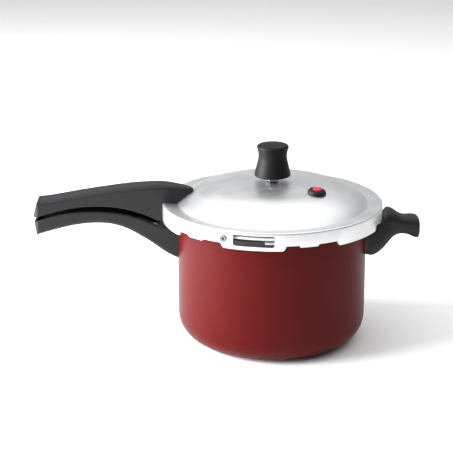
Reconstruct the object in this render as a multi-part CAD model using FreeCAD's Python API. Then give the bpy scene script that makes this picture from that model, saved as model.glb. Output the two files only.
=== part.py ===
import FreeCAD, Part
import math
import os

# Outer-lid pressure cooker, 20 cm, about 4.5 litres. Millimetres, +Z up.
# Origin: centre of the pot's underside. Long handle towards -X, helper handle towards +X.
# The front of the cooker is -Y. Angles named theta run from the front towards +X.

V = FreeCAD.Vector
UP = V(0, 0, 1)

# ---- driving dimensions ----
POT_R = 102.5            # outside radius of the straight wall
WALL = 2.5               # pot wall
BASE_T = 3.5             # pot floor
BASE_CORNER = 28.4       # outside radius of the base corner
RIM_Z = 143.0            # top of the rim flange
RIM_R = 109.0            # outside radius of the flange between the lugs
RIM_BEND = 3.0           # outside bend between wall and flange
RING_COUNT = 6           # turned rings in the underside
RING_R = 12.0            # radius of the smallest ring
RING_PITCH = 10.0
RING_HALF = 0.7          # half the width of a ring
RING_DEPTH = 0.3

LUG_COUNT = 6
LUG_PITCH = 360.0 / LUG_COUNT
LUG_R = 115.3            # outside radius of the pot lugs
LUG_SPAN = 30.0
LUG_THETA = -5.5         # where the front pot lug starts
LUG_LEAD_IN = 0.9        # chamfer under each end of a lug

SHEET = 2.0              # lid sheet
SKIRT_R = 119.1          # outside radius of the lid skirt
DOME_R = 103.0           # foot of the dome
DOME_FOOT_Z = 152.5
DOME_RISE = 22.0
DOME_POWER = 4.24        # higher is flatter on top
CORNER_Z = 154.1         # top of the skirt corner
CORNER_BEND = 2.0
SKIRT_Z = 135.0          # lower edge of the tall stretches of the skirt
NOTCH_Z = 140.2          # top of the notches beside each tab
TAB_Z = 138.2            # underside of the inward tabs
TAB_R = 110.8            # inner radius of the inward tabs
TALL_THETA = (-27.5, 4.8)
TAB_THETA = (12.2, 21.4)
WINDOW_THETA = (-21.4, -0.6)
WINDOW_Z = (138.8, 150.7)
SKIRT_RIVET_THETA = -26.4
SKIRT_RIVET_Z = 145.1
SKIRT_RIVET_R = 2.4      # its hole in the skirt
NOTCH_CORNER = 1.8
TALL_CORNER = 2.2        # chamfer on the lower corners of the tall stretches
WINDOW_CORNER = 2.0

PIPE_R = 4.6             # vent pipe
PIPE_HOLE_R = 4.1        # its hole in the lid
PIPE_FOOT_R = 4.0        # its thread through the lid
PIPE_TOP = 200.0
WASHER_T = 0.8
WASHER_LIFT = 0.03       # clearance over the faint curve of the crown
WEIGHT_Z = 181.4         # underside of the weight's cap
CORE_R = 12.0

PIN_AT = (45.5, -38.0)   # pressure pin on the dome
PIN_TRAVEL = 3.0
VALVE_HOLE_R = 6.5

SLIT_NOSE = (-258.5, 138.0)   # foremost point of the handle's end, at the slit
POT_STRAP_Z = (97.0, 123.0)
POT_STRAP_SPAN = 11.0    # angle of the strap's plate on the wall
POT_TONGUE_END = 136.0
POT_TONGUE_HALF = 7.5
POT_SCREW_X = 128.0
POT_RIVET_Z = (102.5, 113.5)
POT_RIVET_R = 2.4
POT_RIVET_HEAD_R = 4.6
LID_TONGUE_HALF = 8.0
TONGUE_T = 2.0
GAP = 0.2                # moulding clearance round a strap
CLEAR = 0.1              # clearance of a curved face round the pot or lid

CROWN_Z = DOME_FOOT_Z + DOME_RISE


# ---- small helpers ----
def polar(radius, theta, z=0.0):
    """Point at a radius and at an angle from the front, -Y, towards +X."""
    phi = math.radians(theta - 90.0)
    return V(radius * math.cos(phi), radius * math.sin(phi), z)


def line(a, b):
    return Part.makeLine(V(a[0], 0, a[1]), V(b[0], 0, b[1]))


def arc(a, mid, b):
    return Part.Arc(V(a[0], 0, a[1]), V(mid[0], 0, mid[1]), V(b[0], 0, b[1])).toShape()


def quarter(centre, radius, start_deg, end_deg):
    """Arc in the XZ half plane, by its centre and two angles."""
    def at(deg):
        turn = math.radians(deg)
        return (centre[0] + radius * math.cos(turn), centre[1] + radius * math.sin(turn))
    return arc(at(start_deg), at((start_deg + end_deg) / 2), at(end_deg))


def crown(radius, edge_z, top_z):
    """Shallow arc from a rim up to the axis, level at the top."""
    rise = top_z - edge_z
    big = (radius ** 2 + rise ** 2) / (2 * rise)
    half = math.asin(radius / big) / 2
    mid = (big * math.sin(half), top_z - big * (1 - math.cos(half)))
    return arc((radius, edge_z), mid, (0, top_z))


def curve(points, start=None, end=None):
    """Smooth curve through points; start and end are its directions there, as (x, z)."""
    spline = Part.BSplineCurve()
    places = [V(x, 0, z) for x, z in points]
    if start is None:
        spline.interpolate(places)
    else:
        spline.interpolate(Points=places, InitialTangent=V(start[0], 0, start[1]),
                           FinalTangent=V(end[0], 0, end[1]))
    return spline.toShape()


def outline(*points):
    """Closed polygon of edges in the XZ half plane."""
    return [line(points[i - 1], points[i]) for i in range(len(points))]


def turned(edges):
    """Solid of revolution about Z from edges in the XZ half plane."""
    face = Part.Face(Part.Wire(Part.__sortEdges__(edges)))
    solid = face.revolve(V(0, 0, 0), UP, 360)
    return Part.Solid(solid.Shells[0]) if solid.ShapeType != "Solid" else solid


def disc(radius, z0, z1, at=(0.0, 0.0)):
    return Part.makeCylinder(radius, z1 - z0, V(at[0], at[1], z0), UP)


def tube(outer, inner, z0, z1, at=(0.0, 0.0)):
    return disc(outer, z0, z1, at).cut(disc(inner, z0 - 1, z1 + 1, at))


def sector(r0, r1, z0, z1, theta0, theta1):
    """Part of a ring between two angles from the front."""
    face = Part.Face(Part.Wire(outline((r0, z0), (r1, z0), (r1, z1), (r0, z1))))
    ring = face.revolve(V(0, 0, 0), UP, theta1 - theta0)
    ring.rotate(V(0, 0, 0), UP, theta0 - 90.0)
    return ring


def radial_edges(shape, length, z=None):
    """Straight level edges of one length, at one height when it is given."""
    found = []
    for edge in shape.Edges:
        ends = [v.Point for v in edge.Vertexes]
        if len(ends) != 2 or not isinstance(edge.Curve, Part.Line):
            continue
        level = abs(ends[0].z - ends[1].z) < 1e-4
        right_z = z is None or abs(ends[0].z - z) < 1e-3
        if level and right_z and abs(edge.Length - length) < 1e-2:
            found.append(edge)
    return found


def window(theta0, theta1, z0, z1, corner):
    """Cutter through the skirt with rounded corners."""
    block = sector(SKIRT_R - 4, SKIRT_R + 4, z0, z1, theta0, theta1)
    return block.makeFillet(corner, radial_edges(block, 8.0))


def box(x0, x1, y0, y1, z0, z1):
    return Part.makeBox(x1 - x0, y1 - y0, z1 - z0, V(x0, y0, z0))


def fused(first, *others):
    return first.multiFuse(list(others)).removeSplitter()


def prism(radius, z0, z1, at=(0.0, 0.0), sides=6):
    corners = [V(at[0] + radius * math.cos(2 * math.pi * i / sides),
                 at[1] + radius * math.sin(2 * math.pi * i / sides), z0) for i in range(sides)]
    return Part.Face(Part.makePolygon(corners + corners[:1])).extrude(V(0, 0, z1 - z0))


def radial_rod(radius, r0, r1, theta, z):
    """Cylinder that points away from the pot's axis."""
    start = polar(r0, theta, z)
    return Part.makeCylinder(radius, r1 - r0, start, polar(1, theta))


def rivet(shank, head, r_inner, r_outer, theta, z, head_t=1.4):
    """Rivet through a wall between two radii, with a domed head at each end."""
    inner = radial_rod(head, r_inner - head_t, r_inner, theta, z)
    outer = radial_rod(head, r_outer, r_outer + head_t, theta, z)
    dome = 0.55 * head_t
    inner = inner.makeFillet(dome, [end_circle(inner, polar(r_inner - head_t, theta, z))])
    outer = outer.makeFillet(dome, [end_circle(outer, polar(r_outer + head_t, theta, z))])
    return fused(radial_rod(shank, r_inner, r_outer, theta, z), inner, outer)


def end_circle(rod, centre):
    """The rod's rim nearest to a point on its axis."""
    rims = [e for e in rod.Edges if isinstance(e.Curve, Part.Circle)]
    return min(rims, key=lambda e: e.Curve.Center.distanceToPoint(centre))


def screw(at, head_z, shank_top, head_r=3.6, shank_r=2.0, head_t=2.4):
    """Upward screw: head below head_z, cross recess in the head's underside."""
    head = disc(head_r, head_z - head_t, head_z, at)
    head = head.makeFillet(1.0, [end_circle(head, V(at[0], at[1], head_z - head_t))])
    body = fused(head, disc(shank_r, head_z, shank_top, at))
    for long, short in ((2.1, 0.45), (0.45, 2.1)):
        recess = box(at[0] - long, at[0] + long, at[1] - short, at[1] + short,
                     head_z - head_t - 1, head_z - head_t + 1.3)
        body = body.cut(recess)
    return body


def section(x, z0, z1, half, top_r, low_r):
    """Upright rounded cross-section of a handle at one x, as a closed wire."""
    def corner(y, z, ry, rz, start):
        points = []
        for deg in (start, start + 45, start + 90):
            turn = math.radians(deg)
            points.append(V(x, y + ry * math.cos(turn), z + rz * math.sin(turn)))
        return points
    corners = [corner(half - top_r, z1 - top_r, top_r, top_r, 0),
               corner(-half + top_r, z1 - top_r, top_r, top_r, 90),
               corner(-half + low_r, z0 + low_r, low_r, low_r, 180),
               corner(half - low_r, z0 + low_r, low_r, low_r, 270)]
    edges = []
    for i, points in enumerate(corners):
        edges.append(Part.Arc(*points).toShape())
        edges.append(Part.makeLine(points[2], corners[(i + 1) % 4][0]))
    return Part.Wire(edges)


def lofted(stations, top_r, low_r):
    """Solid through rounded sections; each station is x, low z, high z, half width."""
    wires = [section(*row, min(top_r, 0.5 * row[3]), min(low_r, 0.5 * row[3])) for row in stations]
    return Part.makeLoft(wires, True, False)


def soft_section(x, z0, z1, low_half, high_half, power=3.2, count=20):
    """Upright section like a rounded box that may be wider low down than high up."""
    middle, rise = (z0 + z1) / 2, (z1 - z0) / 2
    points = []
    for i in range(count):
        turn = 2 * math.pi * (i + 0.5) / count
        across, up = math.cos(turn), math.sin(turn)
        size = (abs(across) ** power + abs(up) ** power) ** (-1 / power)
        part = (1 + up * size) / 2
        half = low_half + (high_half - low_half) * part
        points.append(V(x, across * size * half, middle + up * size * rise))
    spline = Part.BSplineCurve()
    spline.interpolate(points, True)
    return Part.Wire(spline.toShape())


def shrunk(stations, side, top=0.0, low=0.0):
    """The same stations, pulled in by wall thicknesses."""
    return [(x, z0 + low, z1 - top, half - side) for x, z0, z1, half in stations]


# ---- pot ----
def pot_shell():
    flat_r = POT_R - BASE_CORNER
    inner_r = POT_R - WALL
    inner_corner = inner_r - flat_r
    bend = RIM_BEND + WALL
    bend_at = (POT_R + RIM_BEND, RIM_Z - bend)
    flange_low = RIM_Z - WALL
    edges = [
        line((0, 0), (flat_r, 0)),
        quarter((flat_r, BASE_CORNER), BASE_CORNER, -90, 0),
        line((POT_R, BASE_CORNER), (POT_R, bend_at[1])),
        quarter(bend_at, RIM_BEND, 180, 90),
        line((bend_at[0], flange_low), (RIM_R, flange_low)),
        line((RIM_R, flange_low), (RIM_R, RIM_Z)),
        line((RIM_R, RIM_Z), (bend_at[0], RIM_Z)),
        quarter(bend_at, bend, 90, 180),
        line((inner_r, bend_at[1]), (inner_r, BASE_T + inner_corner)),
        quarter((flat_r, BASE_T + inner_corner), inner_corner, 0, -90),
        line((flat_r, BASE_T), (0, BASE_T)),
        line((0, BASE_T), (0, 0)),
    ]
    pot = turned(edges)
    lugs = []
    for i in range(LUG_COUNT):
        start = LUG_THETA + i * LUG_PITCH
        lug = sector(RIM_R - 2, LUG_R, flange_low, RIM_Z, start, start + LUG_SPAN)
        lugs.append(lug.makeChamfer(LUG_LEAD_IN, radial_edges(lug, LUG_R - RIM_R + 2, flange_low)))
    pot = fused(pot, *lugs)
    for i in range(RING_COUNT):
        radius = RING_R + RING_PITCH * i
        pot = pot.cut(tube(radius + RING_HALF, radius - RING_HALF, -1.0, RING_DEPTH))
    for theta in (-90.0, 90.0):
        for z in POT_RIVET_Z:
            pot = pot.cut(radial_rod(POT_RIVET_R, inner_r - 3, POT_R + 3, theta, z))
    return pot


def pot_strap(side):
    """Curved plate on the pot wall with a tongue that runs out into the handle."""
    theta = 90.0 * side
    half = POT_STRAP_SPAN / 2
    plate = sector(POT_R, POT_R + TONGUE_T, *POT_STRAP_Z, theta - half, theta + half)
    near, far = sorted((side * (POT_R + 0.5), side * POT_TONGUE_END))
    tongue = box(near, far, -POT_TONGUE_HALF, POT_TONGUE_HALF,
                 POT_STRAP_Z[1] - TONGUE_T, POT_STRAP_Z[1])
    tongue = tongue.cut(disc(POT_R + CLEAR, 90, 130))
    strap = fused(plate, tongue).cut(disc(2.1, 90, 130, (side * POT_SCREW_X, 0)))
    for z in POT_RIVET_Z:
        strap = strap.cut(radial_rod(POT_RIVET_R, POT_R - 3, POT_R + 5, theta, z))
    return strap


def pot_rivets(side):
    return Part.makeCompound([rivet(POT_RIVET_R, POT_RIVET_HEAD_R, POT_R - WALL,
                                    POT_R + TONGUE_T, 90.0 * side, z) for z in POT_RIVET_Z])


def pot_screw(side, head_z):
    return screw((side * POT_SCREW_X, 0), head_z, POT_STRAP_Z[1] + 4.4)


def pot_nut(side):
    at = (side * POT_SCREW_X, 0)
    return prism(4.1, POT_STRAP_Z[1], POT_STRAP_Z[1] + 3.2, at).cut(disc(2.0, 100, 150, at))


def strap_pocket(side, head_z):
    """Room in a pot handle for the strap, its rivet heads, the nut and the screw."""
    theta = 90.0 * side
    at = (side * POT_SCREW_X, 0)
    half = POT_STRAP_SPAN / 2 + 0.7
    plate = sector(POT_R - 4, POT_R + TONGUE_T + 2.0, POT_STRAP_Z[0] - GAP, POT_STRAP_Z[1] + GAP,
                   theta - half, theta + half)
    near, far = sorted((side * (POT_R - 2), side * (POT_TONGUE_END + 0.5)))
    tongue = box(near, far, -POT_TONGUE_HALF - GAP, POT_TONGUE_HALF + GAP,
                 POT_STRAP_Z[1] - TONGUE_T - GAP, POT_STRAP_Z[1] + GAP)
    nut_room = disc(5.0, POT_STRAP_Z[1], POT_STRAP_Z[1] + 5.2, at)
    shank_room = disc(2.2, head_z - 1, POT_STRAP_Z[1], at)
    head_room = disc(4.2, head_z - 40, head_z, at)
    return fused(plate, tongue, nut_room, shank_room, head_room)


# ---- long handle, lower half ----
# x, underside, top, half width
BODY_HANDLE = [
    (-98.0, 89.6, 127.0, 14.4), (-111.0, 95.0, 127.0, 14.1), (-122.0, 102.2, 127.6, 13.8),
    (-133.0, 110.0, 131.9, 13.4), (-144.0, 116.8, 136.2, 13.2), (-155.0, 122.9, 139.6, 13.0),
    (-168.0, 127.8, 142.0, 13.0), (-187.0, 130.3, 143.5, 13.0), (-209.0, 128.8, 143.2, 13.2),
    (-231.0, 124.2, 140.2, 13.8), (-247.0, 119.8, 135.9, 14.4), (-263.0, 114.8, 130.4, 14.8),
]
BODY_HEAD_Z = 111.2      # seat of the screw's head
HANDLE_WALL = 3.0


def handle_nose(low_end, high_end):
    """Rounded end shared by both halves: a plan with round corners and two slanted faces."""
    tip_x, tip_z = SLIT_NOSE
    side = Part.makePolygon([V(tip_x, -40, tip_z), V(low_end[0], -40, low_end[1]), V(0, -40, 60),
                             V(0, -40, 200), V(high_end[0], -40, high_end[1]), V(tip_x, -40, tip_z)])
    slanted = Part.Face(side).extrude(V(0, 80, 0))
    plan = box(tip_x, 0, -15.2, 15.2, 50, 210)
    corners = [e for e in plan.Edges
               if abs(e.Vertexes[0].X - tip_x) < 1e-6 and abs(e.Vertexes[1].X - tip_x) < 1e-6
               and abs(e.Length - 160) < 1e-6]
    return plan.makeFillet(9.0, corners).common(slanted)


def nose_edges(handle):
    """Edges of the handle's end faces, where the hand meets them."""
    return [e for e in handle.Edges if e.BoundBox.XMax < -249.0 and e.Length > 6.0]


def body_handle():
    handle = lofted(BODY_HANDLE, 1.6, 5.5)
    handle = handle.common(handle_nose((-251.5, 100.0), (-258.5, 200.0)))
    channel = lofted(shrunk(BODY_HANDLE[4:], HANDLE_WALL, top=-6.0, low=3.4), 1.0, 3.0)
    handle = handle.cut(channel.common(box(-255, -146, -20, 20, 90, 170)))
    shallow = [(x, z1 - 4.2, z1 + 9.0, half - HANDLE_WALL) for x, z0, z1, half in BODY_HANDLE]
    trough = lofted(shallow, 1.0, 2.0)
    handle = handle.cut(trough.common(box(-147, -122, -20, 20, 125.8, 170)))
    handle = handle.cut(disc(POT_R + CLEAR, 60, 160))
    return handle.cut(strap_pocket(-1, BODY_HEAD_Z))


# ---- long handle, upper half ----
LID_HANDLE = [
    (-85.6, 140.0, 166.2, 3.0), (-93.5, 138.0, 169.4, 7.4), (-102.5, 135.0, 171.2, 10.4),
    (-112.0, 132.0, 172.5, 12.2), (-122.0, 133.2, 173.1, 12.9), (-133.0, 138.4, 172.8, 13.1),
    (-144.0, 142.6, 172.1, 13.2), (-164.0, 147.7, 170.0, 13.2), (-187.0, 149.6, 166.6, 13.2),
    (-208.0, 148.7, 163.2, 13.4), (-229.0, 144.9, 159.2, 13.9), (-246.0, 140.4, 156.3, 14.4),
    (-263.0, 135.2, 155.2, 14.8),
]
LID_STRAP_Z = 150.5
LID_SCREW_X = -138.0
LID_TONGUE_END = -150.0
LID_RIVET_Z = 146.2
LID_RIVET_R = 1.8
LID_RIVET_THETA = (-92.1, -87.9)
LID_STRAP_LOW = 142.0
LID_STRAP_SPAN = 8.4     # angle of the strap's plate on the skirt


def lid_handle():
    handle = lofted(LID_HANDLE, 5.2, 1.2)
    handle = handle.common(handle_nose((-258.5, 60.0), (-251.0, 164.0)))
    channel = lofted(shrunk(LID_HANDLE[4:], HANDLE_WALL, top=3.4, low=-6.0), 4.0, 1.0)
    handle = handle.cut(channel.common(box(-255, -126, -20, 20, 120, 190)))
    at = (LID_SCREW_X, 0)
    boss = disc(5.0, LID_STRAP_Z, 170.0, at).cut(disc(1.8, LID_STRAP_Z - 1, 165.0, at))
    handle = fused(handle, boss).cut(lid_envelope())
    half = LID_STRAP_SPAN / 2 + 0.4
    plate_room = sector(SKIRT_R - 1, SKIRT_R + TONGUE_T + 1.4, LID_STRAP_LOW - 0.4,
                        LID_STRAP_Z + GAP, -90.0 - half, -90.0 + half)
    tongue_room = box(LID_TONGUE_END - 0.5, -118.0, -LID_TONGUE_HALF - GAP, LID_TONGUE_HALF + GAP,
                      LID_STRAP_Z - TONGUE_T - GAP, LID_STRAP_Z)
    return handle.cut(plate_room).cut(tongue_room)


def lid_handle_bracket():
    half = LID_STRAP_SPAN / 2
    plate = sector(SKIRT_R, SKIRT_R + TONGUE_T, LID_STRAP_LOW, LID_STRAP_Z,
                   -90.0 - half, -90.0 + half)
    tongue = box(LID_TONGUE_END, -119.5, -LID_TONGUE_HALF, LID_TONGUE_HALF,
                 LID_STRAP_Z - TONGUE_T, LID_STRAP_Z)
    tongue = tongue.cut(disc(SKIRT_R + CLEAR, 140, 160))
    strap = fused(plate, tongue).cut(disc(2.2, 140, 160, (LID_SCREW_X, 0)))
    for theta in LID_RIVET_THETA:
        strap = strap.cut(radial_rod(LID_RIVET_R, SKIRT_R - 3, SKIRT_R + 5, theta, LID_RIVET_Z))
    return strap


def lid_bracket_rivets():
    return Part.makeCompound([rivet(LID_RIVET_R, 2.9, SKIRT_R - SHEET, SKIRT_R + TONGUE_T, theta,
                                    LID_RIVET_Z, 0.9) for theta in LID_RIVET_THETA])


def lid_handle_screw():
    return screw((LID_SCREW_X, 0), LID_STRAP_Z - TONGUE_T, 163.0, shank_r=1.8)


# ---- helper handle ----
# x, underside, top, half width low down, half width high up
HELPER_HANDLE = [
    (97.0, 95.4, 131.5, 28.6, 27.0), (106.0, 95.2, 133.0, 28.2, 24.0),
    (113.0, 97.0, 137.0, 27.0, 20.0), (119.0, 101.2, 142.0, 24.6, 16.8),
    (125.0, 107.4, 144.8, 20.6, 15.4), (132.0, 114.6, 142.4, 15.8, 14.2),
    (138.5, 117.2, 138.1, 13.4, 13.2), (145.0, 117.0, 136.8, 12.8, 12.8),
    (151.5, 114.8, 136.9, 14.0, 14.0), (156.4, 113.2, 136.0, 15.2, 15.0),
    (159.6, 117.0, 132.4, 12.4, 12.2),
]
HELPER_HEAD_Z = 114.6    # seat of the screw's head


def lid_recess():
    """Swept room round the lid that the helper handle's cap arches over."""
    return turned(outline((0, 132.6), (120.3, 132.6), (121.0, 134.2), (127.6, 149.0), (0, 149.0)))


def helper_handle():
    handle = Part.makeLoft([soft_section(*row) for row in HELPER_HANDLE], True, False)
    handle = handle.cut(lid_recess()).cut(disc(POT_R + CLEAR, 60, 160))
    return handle.cut(strap_pocket(1, HELPER_HEAD_Z))


# ---- lid ----
def dome_z(r):
    return DOME_FOOT_Z + DOME_RISE * (1.0 - (r / DOME_R) ** DOME_POWER)


def dome_slope(r):
    return -DOME_RISE * DOME_POWER / DOME_R * (r / DOME_R) ** (DOME_POWER - 1.0)


def dome_points(depth):
    """Points of the dome's section, a depth below its outer face."""
    points = []
    for part in (0.0, 0.2, 0.4, 0.55, 0.68, 0.78, 0.87, 0.94, 1.0):
        r = part * DOME_R
        tilt = math.atan(-dome_slope(r))
        points.append((r - depth * math.sin(tilt), dome_z(r) - depth * math.cos(tilt)))
    return points


def lid_body(depth, low_z):
    """Filled lid shape, a depth inside the outer face, down to one height."""
    dome = dome_points(depth)
    wall_r = SKIRT_R - depth
    bend = CORNER_BEND - depth
    top_z = CORNER_Z - depth
    foot = (DOME_R + 0.4 * depth, DOME_FOOT_Z - 0.95 * depth)
    edges = [curve(dome, (1, 0), (1, dome_slope(DOME_R))),
             line((0, dome[0][1]), (0, low_z)),
             line((0, low_z), (wall_r, low_z))]
    last = dome[-1]
    if depth > 0:
        edges.append(line(last, foot))
        last = foot
    if bend > 0:
        edges.append(line(last, (wall_r - bend, top_z)))
        edges.append(quarter((wall_r - bend, top_z - bend), bend, 90, 0))
        edges.append(line((wall_r, top_z - bend), (wall_r, low_z)))
    else:
        edges.append(line(last, (wall_r, top_z)))
        edges.append(line((wall_r, top_z), (wall_r, low_z)))
    return turned(edges)


def lid_envelope():
    return lid_body(0.0, 60.0)


def lid_shell():
    lid = lid_body(0.0, SKIRT_Z).cut(lid_body(SHEET, SKIRT_Z - 5.0))
    tabs = []
    cutters = []
    for i in range(LUG_COUNT):
        turn = i * LUG_PITCH
        tall_end = TALL_THETA[1] + turn
        next_tall = TALL_THETA[0] + LUG_PITCH + turn
        tab = (TAB_THETA[0] + turn, TAB_THETA[1] + turn)
        cutters.append(window(tall_end, tab[0], SKIRT_Z - 6, NOTCH_Z, NOTCH_CORNER))
        cutters.append(window(tab[1], next_tall, SKIRT_Z - 6, NOTCH_Z, NOTCH_CORNER))
        cutters.append(sector(SKIRT_R - 4, SKIRT_R + 4, SKIRT_Z - 6, TAB_Z + 1,
                              tab[0] - 0.6, tab[1] + 0.6))
        shelf = sector(TAB_R, SKIRT_R, TAB_Z, TAB_Z + SHEET, *tab)
        rim = [e for e in shelf.Edges if isinstance(e.Curve, Part.Circle)
               and abs(e.Curve.Radius - SKIRT_R) < 1e-3 and abs(e.Vertexes[0].Z - TAB_Z) < 1e-3]
        tabs.append(shelf.makeFillet(1.6, rim))
    for cutter in cutters:
        lid = lid.cut(cutter)
    corners = radial_edges(lid, SHEET, SKIRT_Z)
    lid = fused(lid.makeChamfer(TALL_CORNER, corners), *tabs)
    lid = lid.cut(window(*WINDOW_THETA, *WINDOW_Z, WINDOW_CORNER))
    lid = lid.cut(disc(PIPE_HOLE_R, 160, 180))
    lid = lid.cut(placed_on_dome(disc(VALVE_HOLE_R, -8, 8)))
    for theta in LID_RIVET_THETA:
        lid = lid.cut(radial_rod(LID_RIVET_R, SKIRT_R - 4, SKIRT_R + 4, theta, LID_RIVET_Z))
    return lid.cut(radial_rod(SKIRT_RIVET_R, SKIRT_R - 4, SKIRT_R + 4,
                              SKIRT_RIVET_THETA, SKIRT_RIVET_Z))


def skirt_rivet():
    """Tubular rivet with a flat ring head."""
    at = (SKIRT_RIVET_THETA, SKIRT_RIVET_Z)
    head = radial_rod(4.0, SKIRT_R, SKIRT_R + 1.0, *at)
    head = head.makeFillet(0.6, [end_circle(head, polar(SKIRT_R + 1.0, *at))])
    tail = radial_rod(3.3, SKIRT_R - SHEET - 0.8, SKIRT_R - SHEET, *at)
    body = fused(radial_rod(SKIRT_RIVET_R, SKIRT_R - SHEET, SKIRT_R, *at), head, tail)
    return body.cut(radial_rod(1.4, SKIRT_R - 1.0, SKIRT_R + 3, *at))


def gasket():
    """Lip seal: an outer rib that locates it, and two lips that open towards the steam."""
    low = RIM_Z + 0.3
    high = DOME_FOOT_Z - SHEET - 0.3
    mid = (low + high) / 2 - 0.3
    edges = [
        line((104.4, low), (108.6, low)), line((108.6, low), (109.4, mid - 1.3)),
        line((109.4, mid - 1.3), (115.1, mid - 1.3)),
        arc((115.1, mid - 1.3), (115.8, mid), (115.1, mid + 1.3)),
        line((115.1, mid + 1.3), (109.4, mid + 1.3)), line((109.4, mid + 1.3), (108.6, high)),
        line((108.6, high), (104.4, high)), line((104.4, high), (104.4, high - 1.0)),
        line((104.4, high - 1.0), (106.4, high - 1.7)),
        arc((106.4, high - 1.7), (107.2, (low + high) / 2), (106.4, low + 1.7)),
        line((106.4, low + 1.7), (104.4, low + 1.0)), line((104.4, low + 1.0), (104.4, low)),
    ]
    return turned(edges)


# ---- vent pipe and regulator ----
def vent_pipe():
    seat = CROWN_Z + WASHER_T
    flange = prism(6.4, seat, seat + 3.8)
    pipe = turned(outline((0, 165.0), (3.6, 165.0), (PIPE_FOOT_R, 165.6), (PIPE_FOOT_R, seat),
                          (PIPE_R, seat), (PIPE_R, PIPE_TOP - 2.4), (2.6, PIPE_TOP),
                          (0, PIPE_TOP)))
    bore = turned(outline((0, 160.0), (1.1, 160.0), (1.1, PIPE_TOP - 1.0), (1.9, PIPE_TOP + 1.0),
                          (0, PIPE_TOP + 1.0)))
    return fused(pipe, flange).cut(bore)


def vent_pipe_washer():
    return tube(5.9, PIPE_FOOT_R, CROWN_Z + WASHER_LIFT, CROWN_Z + WASHER_T)


def vent_pipe_nut():
    return prism(7.2, 168.2, CROWN_Z - SHEET).cut(disc(PIPE_FOOT_R, 150, 190))


def weight_core():
    body = disc(CORE_R, 184.2, 207.0)
    for radius, low, high in ((7.4, 180.0, 187.0), (5.1, 180.0, PIPE_TOP + 1.2), (2.0, 190.0, 206.0)):
        body = body.cut(disc(radius, low, high))
    return body


def weight_needle():
    tip = PIPE_TOP - 1.4
    return turned(outline((0, tip), (0.35, tip), (1.3, PIPE_TOP + 0.4), (2.0, PIPE_TOP + 1.2),
                          (2.0, 206.0), (0, 206.0)))


def weight_cap():
    side = curve([(19.5, 183.4), (18.6, 187.6), (17.0, 194.0), (15.8, 199.6), (15.4, 203.4),
                  (15.8, 207.6), (17.1, 212.4)])
    edges = [
        line((CORE_R, 184.2), (15.5, WEIGHT_Z)), line((15.5, WEIGHT_Z), (18.7, WEIGHT_Z)),
        arc((18.7, WEIGHT_Z), (19.4, 182.1), (19.5, 183.4)), side,
        arc((17.1, 212.4), (16.4, 214.7), (13.9, 215.5)),
        crown(13.9, 215.5, 216.0),
        line((0, 216.0), (0, 207.0)), line((0, 207.0), (CORE_R, 207.0)),
        line((CORE_R, 207.0), (CORE_R, 184.2)),
    ]
    return turned(edges)


def weight_clip():
    ring = tube(6.7, 4.9, 184.6, 186.2)
    return ring.cut(box(0, 10, -1.6, 1.6, 180, 190))


# ---- pressure pin, on its own tilted axis ----
def placed_on_dome(shape):
    """Move a shape from its own frame onto the dome, its +Z along the dome's normal."""
    r = math.hypot(*PIN_AT)
    slope = dome_slope(r)
    normal = V(-slope * PIN_AT[0] / r, -slope * PIN_AT[1] / r, 1.0).normalize()
    place = FreeCAD.Placement(V(PIN_AT[0], PIN_AT[1], dome_z(r)), FreeCAD.Rotation(UP, normal))
    moved = shape.copy()
    moved.Placement = place.multiply(moved.Placement)
    return moved


def valve_grommet():
    edges = [
        line((3.6, -4.6), (8.6, -4.6)), line((8.6, -4.6), (8.2, -SHEET - 0.1)),
        line((8.2, -SHEET - 0.1), (6.4, -SHEET - 0.1)), line((6.4, -SHEET - 0.1), (6.4, 0.1)),
        line((6.4, 0.1), (9.85, 0.1)), line((9.85, 0.1), (9.85, 0.7)),
        arc((9.85, 0.7), (9.1, 2.9), (7.3, 4.3)), arc((7.3, 4.3), (6.5, 4.6), (5.8, 4.3)),
        line((5.8, 4.3), (5.6, 2.9)), line((5.6, 2.9), (3.6, 2.9)), line((3.6, 2.9), (3.6, -4.6)),
    ]
    return placed_on_dome(turned(edges))


def pin_bushing():
    barrel = tube(3.6, 1.55, -6.0, 2.9)
    collar = tube(4.7, 3.6, -6.0, -4.7)
    return placed_on_dome(fused(barrel, collar))


def pressure_pin():
    edges = [
        line((0, -9.4), (1.5, -9.4)), line((1.5, -9.4), (1.5, 3.3)), line((1.5, 3.3), (5.1, 3.3)),
        line((5.1, 3.3), (5.1, 5.0)), crown(5.1, 5.0, 6.6),
        line((0, 6.6), (0, -9.4)),
    ]
    return placed_on_dome(turned(edges))


def pin_foot():
    """Cap on the pin's lower end that stops its rise."""
    collar = tube(3.2, 1.5, -9.4, -6.0 - PIN_TRAVEL - 0.2)
    return placed_on_dome(fused(collar, disc(3.2, -10.6, -9.4)))


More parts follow.
